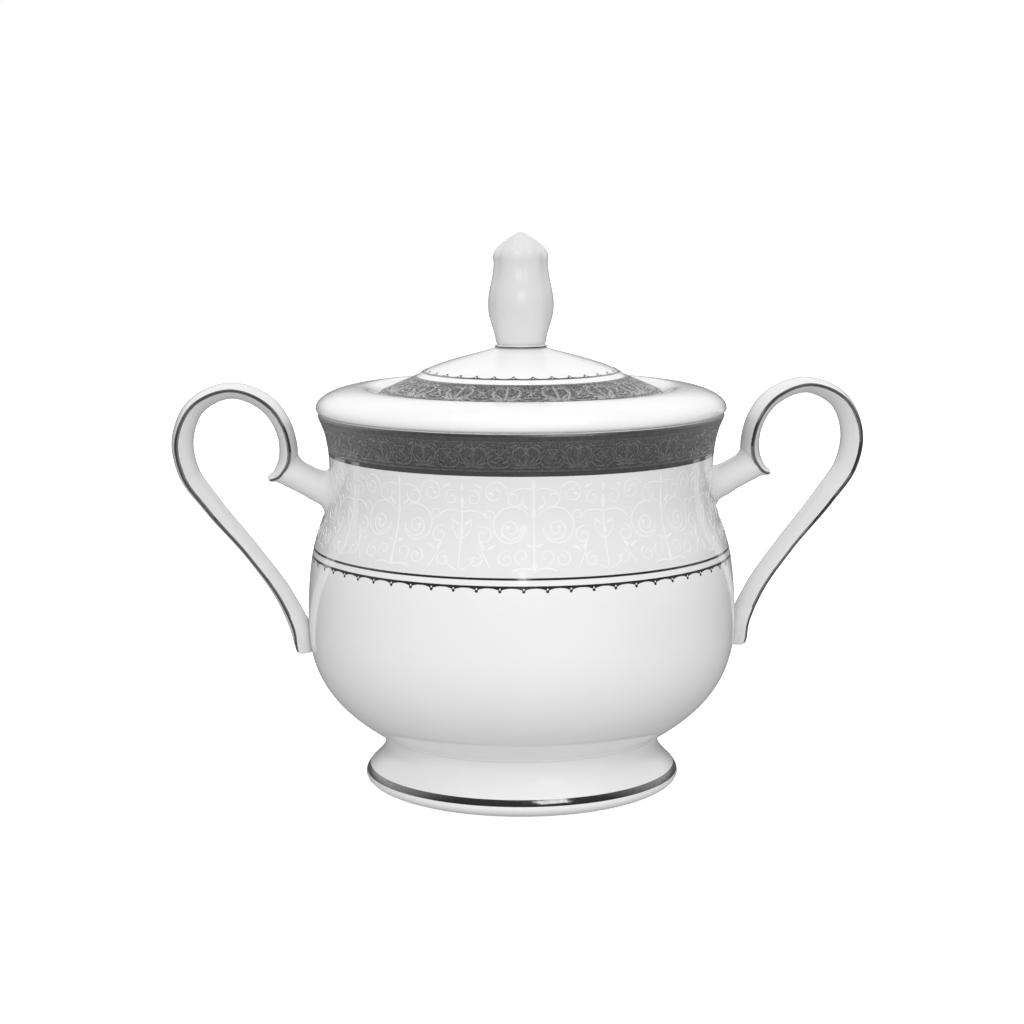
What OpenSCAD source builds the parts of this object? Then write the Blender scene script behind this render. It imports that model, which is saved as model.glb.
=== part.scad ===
// Covered sugar bowl in bone china: a round-bellied bowl on a flared foot, two scroll
// handles, and a loose domed lid with a bud knob. Platinum bands, lines and lace are
// thin skins on the glaze. Millimetres, +Z up, handles along X, origin at the middle
// of the foot's resting face.

/* [Bowl] */
// Outer radius of the rim, where the lid rests
rim_r = 49.6; // [48.6:0.1:50.6]
// Height of the rim
rim_z = 92.4; // [91:0.1:94]
// Outer radius of the neck
neck_r = 46.8; // [46:0.1:47.6]
// Height of the neck
neck_z = 77.2; // [76:0.1:79]
// Outer radius of the belly, its widest place
belly_r = 52.5; // [51.5:0.1:53.5]
// Height of the widest place
belly_z = 40.5; // [38:0.1:43]
// Outer radius of the waist, where the bowl meets the foot
waist_r = 34.4; // [33.5:0.1:35.5]
// Height of the waist
waist_z = 12.9; // [12:0.1:14]
// Wall thickness of the bowl
wall = 2.8; // [2.2:0.1:3.2]
// Height of the inside floor at the middle
floor_z = 11.2; // [10.8:0.1:12.5]

/* [Foot] */
// Largest radius of the foot, just above the table
foot_r = 38.7; // [37.5:0.1:40]
// Height of the foot's widest place
foot_edge_z = 2.6; // [2:0.1:3.2]
// Outer radius of the resting ring
rest_r = 34.2; // [33.5:0.1:35]
// Width of the resting ring
rest_w = 2.8; // [2:0.1:3.5]

/* [Lid] */
// Radius of the lid's edge
lid_r = 50.05; // [49.6:0.05:51]
// Height of the raised crest, above the rim
crest_h = 6.0; // [5:0.1:7]
// Radius of the raised crest
crest_r = 38.6; // [37.5:0.1:40]
// Height of the dome at the knob, above the rim
dome_h = 15.5; // [14.5:0.1:17]
// Wall thickness of the lid
lid_wall = 2.6; // [2.2:0.1:3]
// Outer radius of the flange that drops into the mouth
flange_r = 43.4; // [42:0.1:43.6]
// Depth of the flange below the rim
flange_h = 6; // [4:0.5:7]

/* [Knob] */
// Radius of the knob's neck, on the dome
knob_neck_r = 6.1; // [5.5:0.1:6.5]
// Largest radius of the bud
knob_r = 8.0; // [7.5:0.1:8.6]
// Height of the knob above the dome
knob_h = 28.1; // [26:0.1:30]

/* [Handles] */
// Half width of the strap at the top of its loop
strap_w = 6; // [5:0.1:6.5]
// Half width of the stem where it meets the neck
stem_w = 5.2; // [4.5:0.1:5.6]

/* [Platinum] */
// Thickness that stands in for each fired platinum skin
skin = 0.12; // [0.1:0.01:0.15]
// Height of the etched rim band's lower edge
rim_band_z = 82.4; // [81:0.1:84]
// Height of the polished border along each edge of the rim band
border_h = 0.9; // [0.6:0.1:1.2]
// Height of the hairline on the shoulder
shoulder_z = 59.9; // [59:0.1:61]
// Height of the lace line under the hairline
lace_z = 58.1; // [57:0.1:58.4]
// Number of scallops in the shoulder lace
lace_count = 60; // [48:6:72]
// Outer radius of the etched band on the lid
lid_band_r = 34.7; // [34:0.1:35.5]
// Inner radius of the etched band on the lid
lid_band_inner_r = 25.5; // [25:0.1:26.5]
// Number of scallops in the lid lace
lid_lace_count = 32; // [28:4:40]
// Width of the polished border round the lid's etched band
lid_border_w = 0.8; // [0.6:0.1:1.2]
// Height of the foot's platinum band at its middle
foot_band_z = 4.1; // [3.8:0.1:5]
// Height of the foot's platinum band
foot_band_h = 1.35; // [1:0.05:1.8]

/* [Hidden] */

PORCELAIN = [0.96, 0.96, 0.96];
GROUND = [0.88, 0.88, 0.88];
PLATINUM = [0.36, 0.36, 0.37];
$fn = 96;

// ---- curves -------------------------------------------------------------------------

// A cubic curve through four points, at t from 0 to 1
function bez(p, t) = let (s = 1 - t)
    s*s*s*p[0] + 3*s*s*t*p[1] + 3*s*t*t*p[2] + t*t*t*p[3];

// n points of a cubic curve from t0 towards t1, which is left out
function span(p, n, t0 = 0, t1 = 1) = [for (i = [0:n - 1]) bez(p, t0 + (t1 - t0)*i/n)];

// Where a falling curve passes a height, by halving
function t_at(p, z, lo = 0, hi = 1, steps = 24) = let (mid = (lo + hi)/2)
    steps == 0 ? mid : bez(p, mid)[1] > z ? t_at(p, z, mid, hi, steps - 1)
                                          : t_at(p, z, lo, mid, steps - 1);

function unit(v) = v/norm(v);
function last(list) = list[len(list) - 1];

// An outline's points moved sideways by d, to the left of its direction
function beside(pts, d) = [for (i = [0:len(pts) - 1])
    let (a = pts[max(i - 1, 0)], b = pts[min(i + 1, len(pts) - 1)], u = unit(b - a))
    pts[i] + d*[-u[1], u[0]]];

function reversed(list) = [for (i = [len(list) - 1:-1:0]) list[i]];

// A thin ring that lies on an outline. Its outer corners are drawn in by gap, so two
// skins that share an edge touch without overlapping.
gap = 0.02;
module skin_ring(pts) {
    n = len(pts);
    top = beside(pts, skin);
    inset = [for (i = [0:n - 1]) top[i] + (i == 0 ? gap*unit(pts[1] - pts[0])
        : i == n - 1 ? gap*unit(pts[n - 2] - pts[n - 1]) : [0, 0])];
    rotate_extrude() polygon(concat(pts, reversed(inset)));
}

// ---- outlines of the bowl -------------------------------------------------------------

lip = 0.7;                       // rounding of the rim's outer edge
lip_r = rim_r - 0.1;
neck_curve = [[lip_r, rim_z - lip], [lip_r - 0.8, rim_z - lip - 2.4],
              [neck_r, neck_z + 10.3], [neck_r, neck_z]];
shoulder_curve = [[neck_r, neck_z], [neck_r, neck_z - 14],
                  [belly_r, belly_z + 27], [belly_r, belly_z]];
belly_curve = [[belly_r, belly_z], [belly_r, belly_z - 16.1],
               [waist_r + 7.3, waist_z + 4.7], [waist_r, waist_z]];
under_curve = [[waist_r, waist_z], [waist_r - 6, waist_z - 2.4], [15, 8.4], [0, 8.4]];

t_border_top = t_at(neck_curve, rim_z - lip - border_h);
t_border_low = t_at(neck_curve, rim_band_z + border_h);
t_band_low = t_at(neck_curve, rim_band_z);
t_line = t_at(shoulder_curve, shoulder_z);
t_line_low = t_at(shoulder_curve, shoulder_z - 0.5);
t_lace = t_at(shoulder_curve, lace_z);
t_lace_low = t_at(shoulder_curve, lace_z - 0.5);

upper_border = concat(span(neck_curve, 2, 0, t_border_top), [bez(neck_curve, t_border_top)]);
etched_band = concat(span(neck_curve, 6, t_border_top, t_border_low),
                     [bez(neck_curve, t_border_low)]);
lower_border = concat(span(neck_curve, 2, t_border_low, t_band_low),
                      [bez(neck_curve, t_band_low)]);
scroll_zone = concat(span(neck_curve, 4, t_band_low, 1), span(shoulder_curve, 6, 0, t_line),
                     [bez(shoulder_curve, t_line)]);
line_zone = [bez(shoulder_curve, t_line), bez(shoulder_curve, t_line_low)];
under_points = concat(span(under_curve, 6), [under_curve[3]]);

bowl_outer = concat([[rim_r - 1, rim_z], [rim_r - 0.4, rim_z - 0.25]],
    span(neck_curve, 2, 0, t_border_top), span(neck_curve, 6, t_border_top, t_border_low),
    span(neck_curve, 2, t_border_low, t_band_low), span(neck_curve, 4, t_band_low, 1),
    span(shoulder_curve, 6, 0, t_line), span(shoulder_curve, 1, t_line, t_line_low),
    span(shoulder_curve, 2, t_line_low, t_lace), span(shoulder_curve, 6, t_lace, 1),
    span(belly_curve, 12), under_points);

inner_neck = [[rim_r - wall, rim_z - 0.5], [rim_r - wall - 0.8, rim_z - 3.2],
              [neck_r - wall, neck_z + 10.3], [neck_r - wall, neck_z]];
inner_shoulder = [[neck_r - wall, neck_z], [neck_r - wall, neck_z - 14],
                  [belly_r - wall, belly_z + 27], [belly_r - wall, belly_z]];
inner_belly = [[belly_r - wall, belly_z], [belly_r - wall, belly_z - 16.5],
               [36, floor_z], [0, floor_z]];
bowl_inner = concat([[rim_r - wall + 0.4, rim_z]], span(inner_neck, 8),
    span(inner_shoulder, 8), span(inner_belly, 16), [inner_belly[3]]);

// ---- outlines of the foot ---------------------------------------------------------------

flare_curve = [[waist_r, waist_z], [waist_r - 2.6, waist_z - 5.1],
               [foot_r, foot_edge_z + 3.1], [foot_r, foot_edge_z]];
toe_curve = [[foot_r, foot_edge_z], [foot_r, foot_edge_z/2], [rest_r + 1.2, 0], [rest_r, 0]];
recess_curve = [[rest_r - rest_w, 0], [rest_r - rest_w + 0.6, 4],
                under_points[1] + [-0.6, -4], under_points[1]];
t_foot_band = t_at(flare_curve, foot_band_z + foot_band_h/2);
t_foot_band_low = t_at(flare_curve, foot_band_z - foot_band_h/2);
foot_zone = concat(span(flare_curve, 3, t_foot_band, t_foot_band_low),
                   [bez(flare_curve, t_foot_band_low)]);
foot_outline = concat(span(flare_curve, 8, 0, t_foot_band),
    span(flare_curve, 3, t_foot_band, t_foot_band_low), span(flare_curve, 2, t_foot_band_low, 1),
    span(toe_curve, 6), [toe_curve[3]], span(recess_curve, 6), [recess_curve[3]]);

// ---- outlines of the lid ------------------------------------------------------------------

crest_z = rim_z + crest_h;
band_z = crest_z - 1.35;         // outer edge of the etched band, in the dip inside the crest
band_inner_z = band_z + 4.0;
dome_z = rim_z + dome_h;
edge_curve = [[lid_r, rim_z + 1], [lid_r, rim_z + 4.1], [crest_r + 5.4, crest_z], [crest_r, crest_z]];
dip_curve = [[crest_r, crest_z], [crest_r - 1.6, crest_z],
             [lid_band_r + 1.2, band_z], [lid_band_r, band_z]];
band_line = [[lid_band_r, band_z], [lid_band_inner_r, band_inner_z]];
dome_curve = [band_line[1], band_line[1] + [-3.5, 3.1],
              [knob_neck_r + 4.4, dome_z - 1.6], [knob_neck_r, dome_z]];
lid_top = concat(span(edge_curve, 12), span(dip_curve, 5), [band_line[0]],
    span(dome_curve, 12), [dome_curve[3], [0, dome_z]]);
lid_edge_under = concat([[rim_r - 1.2, rim_z]],
    [for (a = [30:30:60]) [rim_r - 1.2, rim_z + 1] + [(lid_r - rim_r + 1.2)*sin(a), -cos(a)]]);
hollow_edge = [[flange_r - 2.2, rim_z + 0.4], [flange_r - 2.2, rim_z + 2.2],
               [crest_r, rim_z + 2.6], [crest_r - 3.6, rim_z + 2.6]];
hollow_dome = [hollow_edge[3], [26, rim_z + 3],
               [20, dome_z - lid_wall - 2], [0, dome_z - lid_wall]];
lid_under = concat(span(hollow_edge, 5), span(hollow_dome, 10), [hollow_dome[3]]);
lid_outline = concat([[flange_r - 2.2, rim_z - flange_h], [flange_r - 0.4, rim_z - flange_h],
    [flange_r, rim_z - flange_h + 0.6], [flange_r, rim_z]], lid_edge_under, lid_top,
    reversed(lid_under));

// ---- outline of the knob --------------------------------------------------------------------

knob_low = [[knob_neck_r, dome_z], [knob_neck_r - 0.2, dome_z + 4],
            [knob_r, dome_z + 6], [knob_r, dome_z + 10.4]];
knob_high = [[knob_r, dome_z + 10.4], [knob_r, dome_z + 14.4],
             [knob_r - 1.75, dome_z + 17], [knob_r - 1.35, dome_z + 22.4]];
knob_tip = [[knob_r - 1.35, dome_z + 22.4], [knob_r - 1.5, dome_z + 24],
            [knob_r - 4.4, dome_z + 26.4], [0, dome_z + knob_h]];
knob_outline = concat([[0, dome_z]], span(knob_low, 7), span(knob_high, 7), span(knob_tip, 6),
                      [knob_tip[3]]);

// ---- route and section of a handle ------------------------------------------------------------

// Stations of the strap, from the toe on the belly over the loop to the curl's tip:
// distance out, height, thickness, half width as a share of strap_w, and how far the
// sharp edges lie outside the strap's middle, as a share of its thickness
strap = [[53.7, 33.8, 3.0, 0.66, 0.4], [53.8, 35.2, 4.2, 0.72, 0.36],
    [54.5, 39.0, 4.8, 0.77, 0.26], [57.7, 46.6, 4.5, 0.80, 0.22],
    [65.7, 58.4, 4.1, 0.88, 0.22], [75.4, 70.4, 4.8, 0.95, 0.22],
    [80.8, 78.5, 5.2, 1, 0.22], [82.1, 86.0, 5.3, 1, 0.22], [78.9, 94.1, 4.6, 1, 0.18],
    [70.4, 98.0, 3.9, 1, 0.12], [61.2, 94.2, 4.2, 1, 0.06], [57.1, 86.8, 4.3, 0.97, 0.04],
    [57.0, 80.8, 4.4, 0.9, 0.04], [59.3, 77.4, 3.0, 0.74, 0.04],
    [62.8, 76.1, 0.6, 0.4, 0.04]];

// Stations of the stem, from inside the neck's wall to inside the strap, with no edges
stem = [[45.9, 73.4, 9.6, 1.25, 0], [48.6, 74.2, 8.0, 1, 0], [52.0, 75.8, 7.2, 0.92, 0],
    [55.4, 78.0, 6.4, 0.86, 0], [57.3, 79.6, 3.6, 0.6, 0]];

// Slope of a chain of stations at station i, weighted by the lengths on both sides
function slope(s, i) = let (a = s[max(i - 1, 0)], b = s[i], c = s[min(i + 1, len(s) - 1)],
        da = max(norm(b - a), 0.001), dc = max(norm(c - b), 0.001))
    i == 0 ? (c - b)/dc : i == len(s) - 1 ? (b - a)/da
        : ((b - a)/da*dc + (c - b)/dc*da)/(da + dc);

// A smooth route through the stations, n steps to each
function route(s, n) = concat([for (i = [0:len(s) - 2], k = [0:n - 1])
    let (d = norm(s[i + 1] - s[i]), u = slope(s, i)*d/3, v = slope(s, i + 1)*d/3)
    bez([s[i], s[i] + u, s[i + 1] - v, s[i + 1]], k/n)], [last(s)]);

// Sections: across the strap, away from the loop, and the share of the edges' offset
across = [-1, -0.8, -0.4, 0, 0.4, 0.8, 1];
section = concat([for (u = across) [u, (1 - u*u)/2, u*u]],
                 [for (i = [5:-1:1]) let (u = across[i]) [u, -(1 - u*u)/2, u*u]]);
oval = [for (a = [0:30:330]) [sin(a), cos(a)/2, 0]];

// The corners of a section at point i of a route
function ring(path, i, shape, half_w) = let (a = path[max(i - 1, 0)],
        b = path[min(i + 1, len(path) - 1)], u = unit([b[0] - a[0], b[1] - a[1]]), p = path[i])
    [for (q = shape) let (away = (q[1] + q[2]*p[4])*p[2])
        [p[0] + u[1]*away, q[0]*p[3]*half_w, p[1] - u[0]*away]];

// A solid swept through rings of corners
module swept(rings) {
    n = len(rings[0]);
    m = len(rings);
    faces = concat([[for (k = [0:n - 1]) k]], [[for (k = [n - 1:-1:0]) (m - 1)*n + k]],
        [for (i = [0:m - 2], k = [0:n - 1]) [i*n + k, (i + 1)*n + k, (i + 1)*n + (k + 1) % n]],
        [for (i = [0:m - 2], k = [0:n - 1]) [i*n + k, (i + 1)*n + (k + 1) % n, i*n + (k + 1) % n]]);
    polyhedron([for (r = rings) each r], faces, convexity = 8);
}

strap_path = route(strap, 4);
stem_path = route(stem, 3);

module handle() {
    swept([for (i = [0:len(strap_path) - 1]) ring(strap_path, i, section, strap_w)]);
    swept([for (i = [0:len(stem_path) - 1]) ring(stem_path, i, oval, stem_w)]);
}

// The two fired lines along a strap's sharp edges
line_shape = [[0.88, -0.02], [0.95, 0.075], [1.015, 0], [0.95, -0.075]];
module handle_lines() {
    for (side = [-1, 1])
        swept([for (i = [1:len(strap_path) - 2])
            let (r = ring(strap_path, i, [for (q = line_shape) [q[0]*side, q[1], 1]], strap_w))
            side > 0 ? r : reversed(r)]);
}

// ---- scalloped lace ---------------------------------------------------------------------------

steps = 5;                       // steps across one scallop
scallop_h = 1.5;                 // reach of a cusp below the lace line
line_h = 0.55;

// Share of a scallop's reach at step k: full at the cusps, nothing at mid span
function hang(k) = pow(abs(2*k/steps - 1), 1.6);

// A scalloped ring that starts at an outline point, from, hangs down the surface in the
// direction along, and stands off it in the direction face
module lace(count, from, along, face) {
    total = count*steps;
    rows = [for (j = [0:total - 1])
        let (turn = 360*j/total, reach = line_h + (scallop_h - line_h)*hang(j % steps),
             low = from + along*reach)
        [for (q = [from, low, low + face*skin, from + face*skin])
            [q[0]*cos(turn), q[0]*sin(turn), q[1]]]];
    corners = [for (r = rows) each r];
    faces = [for (j = [0:total - 1], k = [0:3], h = [0:1])
        let (a = j*4, b = ((j + 1) % total)*4, k2 = (k + 1) % 4)
        h == 0 ? [a + k, b + k2, b + k] : [a + k, a + k2, b + k2]];
    polyhedron(corners, faces, convexity = 8);
}

// ---- sub-parts ----------------------------------------------------------------------------------

module bowl_shell() {
    color(PORCELAIN) rotate_extrude() polygon(concat(bowl_outer, reversed(bowl_inner)));
}

module foot_ring() {
    color(PORCELAIN) rotate_extrude() polygon(foot_outline);
}

module handle_right() { color(PORCELAIN) handle(); }

module handle_left() { color(PORCELAIN) rotate([0, 0, 180]) handle(); }

module rim_band() { color(PLATINUM) skin_ring(etched_band); }

module rim_band_upper_border() { color(PLATINUM) skin_ring(upper_border); }

module rim_band_lower_border() { color(PLATINUM) skin_ring(lower_border); }

module scroll_band() { color(GROUND) skin_ring(scroll_zone); }

module shoulder_line() { color(PLATINUM) skin_ring(line_zone); }

module shoulder_lace() {
    from = bez(shoulder_curve, t_lace);
    along = unit(bez(shoulder_curve, t_lace_low) - from);
    color(PLATINUM) lace(lace_count, from, along, [-along[1], along[0]]);
}

module foot_band() { color(PLATINUM) skin_ring(foot_zone); }

module handle_right_lines() { color(PLATINUM) handle_lines(); }

module handle_left_lines() { color(PLATINUM) rotate([0, 0, 180]) handle_lines(); }

module lid_shell() { color(PORCELAIN) rotate_extrude() polygon(lid_outline); }

module lid_knob() { color(PORCELAIN) rotate_extrude() polygon(knob_outline); }

border_at = band_line[0] + lid_border_w*unit(band_line[1] - band_line[0]);

module lid_band() { color(PLATINUM) skin_ring([band_line[1], border_at]); }

module lid_band_border() { color(PLATINUM) skin_ring([border_at, band_line[0]]); }

// Places on the dome's curve where the lid lace starts, and where a cusp's tip comes to
t_lid_lace = [0.11, 0.19];
module lid_lace() {
    from = bez(dome_curve, t_lid_lace[0]);
    along = unit(bez(dome_curve, t_lid_lace[1]) - from);
    color(PLATINUM) lace(lid_lace_count, from, along, [along[1], -along[0]]);
}

collar = [0.25, 0.5];            // how far the collar stands out, and its height
module knob_collar() {
    color(PLATINUM) translate([0, 0, dome_z]) difference() {
        cylinder(r = knob_neck_r + collar[0], h = collar[1]);
        translate([0, 0, -1]) cylinder(r = knob_neck_r + gap, h = collar[1] + 2);
    }
}

bowl_shell();
foot_ring();
handle_left();
handle_right();
rim_band();
rim_band_upper_border();
rim_band_lower_border();
scroll_band();
shoulder_line();
shoulder_lace();
foot_band();
handle_left_lines();
handle_right_lines();
lid_shell();
lid_knob();
lid_band();
lid_band_border();
lid_lace();
knob_collar();
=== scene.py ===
"""Looks of the covered sugar bowl: white glazed porcelain with etched and polished platinum.

Shapes are in millimetres, and add_mesh() turns them into Blender's metres. The camera and the
lamps are placed in metres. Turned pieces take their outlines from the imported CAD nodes, and
the handles follow the stations in STRAP and STEM.
"""

import math

import bmesh
import bpy
import numpy as np
from mathutils import Matrix, Vector
from mathutils.bvhtree import BVHTree


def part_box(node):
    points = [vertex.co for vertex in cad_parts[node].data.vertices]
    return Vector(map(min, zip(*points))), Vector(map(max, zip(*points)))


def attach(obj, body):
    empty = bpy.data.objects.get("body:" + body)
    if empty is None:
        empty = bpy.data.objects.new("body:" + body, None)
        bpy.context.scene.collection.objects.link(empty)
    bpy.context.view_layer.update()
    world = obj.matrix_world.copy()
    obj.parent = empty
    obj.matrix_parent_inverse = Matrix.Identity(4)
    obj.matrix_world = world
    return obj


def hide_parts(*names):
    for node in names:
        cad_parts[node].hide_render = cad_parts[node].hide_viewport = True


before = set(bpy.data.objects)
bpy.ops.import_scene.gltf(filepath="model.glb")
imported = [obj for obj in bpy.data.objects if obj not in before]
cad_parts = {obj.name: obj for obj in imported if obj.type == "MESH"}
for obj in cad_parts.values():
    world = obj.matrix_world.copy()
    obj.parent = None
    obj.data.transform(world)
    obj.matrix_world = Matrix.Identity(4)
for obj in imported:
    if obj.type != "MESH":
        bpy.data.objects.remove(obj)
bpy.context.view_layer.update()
MM = 0.001
TURN = 2 * math.pi


# ---- reading the CAD ------------------------------------------------------------------------

def meridian(node):
    """The outline of a turned CAD node, as (radius, height) in mm, in order."""
    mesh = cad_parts[node].data
    place = {}
    for v in mesh.vertices:
        if abs(v.co.y) < 1e-7 and v.co.x > -1e-7:
            place[v.index] = (round(v.co.x / MM, 3), round(v.co.z / MM, 3))
    near = {p: set() for p in place.values()}
    for edge in mesh.edges:
        a, b = (place.get(i) for i in edge.vertices)
        if a and b and a != b:
            near[a].add(b)
            near[b].add(a)
    start = max((p for p in near if len(near[p]) == 1), key=lambda p: p[1],
                default=max(near, key=lambda p: p[1]))
    chain, seen = [start], {start}
    while True:
        onward = [p for p in near[chain[-1]] if p not in seen]
        if not onward:
            return np.array(chain)
        here = np.array(chain[-1])
        chain.append(min(onward, key=lambda p: np.hypot(*(np.array(p) - here))))
        seen.add(chain[-1])


def unit(v):
    """Vectors of length one, along the last axis."""
    return v / np.maximum(np.linalg.norm(v, axis=-1, keepdims=True), 1e-9)


def corners(points, closed):
    """The points of an outline that don't lie on a straight line between their neighbours."""
    last = len(points) - 1
    keep = []
    for i, b in enumerate(points):
        if not closed and i in (0, last):
            keep.append(i)
            continue
        a, c = points[i - 1], points[(i + 1) % (last + 1)]
        (p, q), (s, t) = b - a, c - b
        if abs(p * t - q * s) > 0.002 * np.hypot(*(c - a)):
            keep.append(i)
    return points[keep]


def hermite(a, b, u, v, count):
    """Points from a towards b, which is left out, leaving along u and arriving along v."""
    t = np.arange(count)[:, None] / count
    t2, t3 = t * t, t * t * t
    return ((2 * t3 - 3 * t2 + 1) * a + (t3 - 2 * t2 + t) * u
            + (3 * t2 - 2 * t3) * b + (t3 - t2) * v)


def smooth(points, step=0.8, closed=False, sharp=32):
    """A rounded outline through an outline's corners. Turns over sharp degrees stay sharp."""
    points = corners(np.asarray(points, float), closed)
    count = len(points)
    ahead = np.roll(points, -1, 0) - points
    size = np.linalg.norm(ahead, axis=1)
    before, after = unit(np.roll(ahead, 1, 0)), unit(ahead)
    back, on = np.roll(size, 1)[:, None], size[:, None]
    mean = unit(before * on + after * back)
    bend = np.degrees(np.arccos(np.clip((before * after).sum(1), -1, 1)))
    soft = (bend < sharp)[:, None]
    if not closed:
        soft[0] = soft[-1] = False
    mean = np.where(on > 3 * back, after, np.where(back > 3 * on, before, mean))
    leave = np.where(soft, mean, after)
    arrive = np.where(soft, mean, before)
    line = []
    for i in range(count if closed else count - 1):
        j = (i + 1) % count
        parts = max(1, round(size[i] / step))
        line.append(hermite(points[i], points[j], leave[i] * size[i], arrive[j] * size[i], parts))
    if not closed:
        line.append(points[-1:])
    return np.concatenate(line)


# ---- meshes ---------------------------------------------------------------------------------

def add_mesh(name, verts, faces, sharp=35):
    """A smooth-shaded object from vertices in mm. Edges over sharp degrees stay sharp."""
    mesh = bpy.data.meshes.new(name)
    mesh.from_pydata((np.asarray(verts, float) * MM).tolist(), [], [list(f) for f in faces])
    work = bmesh.new()
    work.from_mesh(mesh)
    bmesh.ops.recalc_face_normals(work, faces=work.faces)
    work.to_mesh(mesh)
    work.free()
    mesh.polygons.foreach_set("use_smooth", [True] * len(mesh.polygons))
    mesh.set_sharp_from_angle(angle=math.radians(sharp))
    piece = bpy.data.objects.new(name, mesh)
    bpy.context.scene.collection.objects.link(piece)
    return piece


def finish_piece(piece, body, node, slot, *materials):
    """Gives a piece its materials, hangs it on its body, and hides the CAD node that it stands for."""
    for material in materials:
        piece.data.materials.append(material)
    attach(piece, body)
    if node:
        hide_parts(node)
    return piece


def lathe(name, outline, turns=192, closed=False):
    """A turned mesh from an outline. A point on the axis becomes one vertex."""
    angle = np.arange(turns) * TURN / turns
    verts, rows = [], []
    for r, z in outline:
        on_axis = r < 1e-4
        rows.append([len(verts)] * turns if on_axis else range(len(verts), len(verts) + turns))
        if on_axis:
            verts.append((0, 0, z))
        else:
            verts.extend(zip(r * np.cos(angle), r * np.sin(angle), [z] * turns))
    pairs = list(zip(rows, rows[1:])) + ([(rows[-1], rows[0])] if closed else [])
    faces = []
    for a, b in pairs:
        for j in range(turns):
            k = (j + 1) % turns
            faces.append(tuple(dict.fromkeys((a[j], a[k], b[k], b[j]))))
    return add_mesh(name, verts, faces)


def ring_mesh(name, place):
    """A closed ring from points (rows, turns, 3): row after row, and back to the first."""
    rows, turns = place.shape[:2]
    i = np.arange(rows)[:, None] * turns
    j = np.arange(turns)[None]
    i2, j2 = np.roll(i, -1, 0), np.roll(j, -1, 1)
    faces = np.stack([i + j, i + j2, i2 + j2, i2 + j], -1).reshape(-1, 4)
    return add_mesh(name, place.reshape(-1, 3), faces.tolist())


def tube_mesh(name, sections, sharp=35):
    """A mesh of closed tubes, each an array (rings, corners, 3), capped at both ends."""
    verts, faces = [], []
    for section in sections:
        rings, sides = section.shape[:2]
        start = sum(len(v) for v in verts)
        i = start + np.arange(rings - 1)[:, None] * sides
        j = np.arange(sides)[None]
        j2 = np.roll(j, -1, 1)
        quads = np.stack([i + j, i + j2, i + sides + j2, i + sides + j], -1)
        faces += quads.reshape(-1, 4).tolist()
        faces += [list(range(start, start + sides)),
                  list(range(start + (rings - 1) * sides, start + rings * sides))]
        verts.append(section.reshape(-1, 3))
    return add_mesh(name, np.concatenate(verts), faces, sharp)


# ---- places on a surface --------------------------------------------------------------------

class Track:
    """An outline that decoration lies on, measured along it from its first point."""

    def __init__(self, line):
        self.line = line
        step = np.linalg.norm(np.diff(line, axis=0), axis=1)
        self.s = np.concatenate([[0], np.cumsum(step)])
        way = unit(np.gradient(line, self.s, axis=0))
        self.out = np.stack([-way[:, 1], way[:, 0]], 1)

    def at_height(self, z):
        """The distance along the track at a height. The track has to run downwards."""
        return float(np.interp(-z, -self.line[:, 1], self.s))

    def at_radius(self, r):
        """The distance along the track at a radius. The track has to run outwards."""
        return float(np.interp(r, self.line[:, 0], self.s))

    def put(self, turn, s, lift=0.0):
        """Points at angles turn (radians) and distances s along the track, lift off it."""
        turn, s, lift = np.broadcast_arrays(turn, s, lift)
        r = np.interp(s, self.s, self.line[:, 0]) + lift * np.interp(s, self.s, self.out[:, 0])
        z = np.interp(s, self.s, self.line[:, 1]) + lift * np.interp(s, self.s, self.out[:, 1])
        return np.stack([r * np.cos(turn), r * np.sin(turn), z], -1)


def part_of(outline, low, high):
    """The stretch of an outline whose points come between two corners, both included."""
    first = int(np.argmin(np.hypot(*(outline - low).T)))
    second = int(np.argmin(np.hypot(*(outline - high).T)))
    return outline[min(first, second):max(first, second) + 1]


# How far things stand off the glaze they lie on, in mm
GLAZE_LIFT = 0.03             # the grey ground, and the glaze over the foot's joint
LINE_LIFT = 0.05              # a platinum line
BORDER_LIFT = 0.07            # a polished border
ETCHED_LIFTS = (0.01, 0.1)    # etched platinum: its ground and the top of its relief
SCROLL_LIFT = 0.1             # the raised white scrolls
SUNK = -0.12                  # the hidden side of a skin


def band(name, track, start, end, height, turns=192, rows=6):
    """A closed skin on a track from start to end. height is mm, or an array (rows, turns)."""
    if np.ndim(height):
        rows, turns = height.shape
    else:
        height = np.full((rows, turns), height)
    turn = np.arange(turns) * TURN / turns
    s = np.linspace(start, end, rows)
    top = track.put(turn[None], s[:, None], height)
    under = track.put(turn[None], np.linspace(end, start, 10)[:, None], SUNK)
    return ring_mesh(name, np.concatenate([top, under]))


def relief(strokes, length, height, columns, rows):
    """How raised each point of one repeat is, 0 to 1: an array (rows, columns)."""
    x = (np.arange(columns) + 0.5) / columns * length - length / 2
    y = np.linspace(0, height, rows)
    grid = np.stack(np.meshgrid(x, y), -1).reshape(-1, 1, 2)
    raised = np.zeros(len(grid))
    for stroke in strokes:
        a, b = stroke[None, :-1], stroke[None, 1:]
        along = b[..., :2] - a[..., :2]
        t = ((grid - a[..., :2]) * along).sum(-1) / np.maximum((along ** 2).sum(-1), 1e-9)
        t = np.clip(t, 0, 1)
        gap = np.linalg.norm(grid - a[..., :2] - along * t[..., None], axis=-1)
        width = a[..., 2] * (1 - t) + b[..., 2] * t
        raised = np.maximum(raised, np.clip(1 - (gap / width) ** 2, 0, 1).max(1))
    return np.sqrt(raised).reshape(rows, columns)


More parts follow.
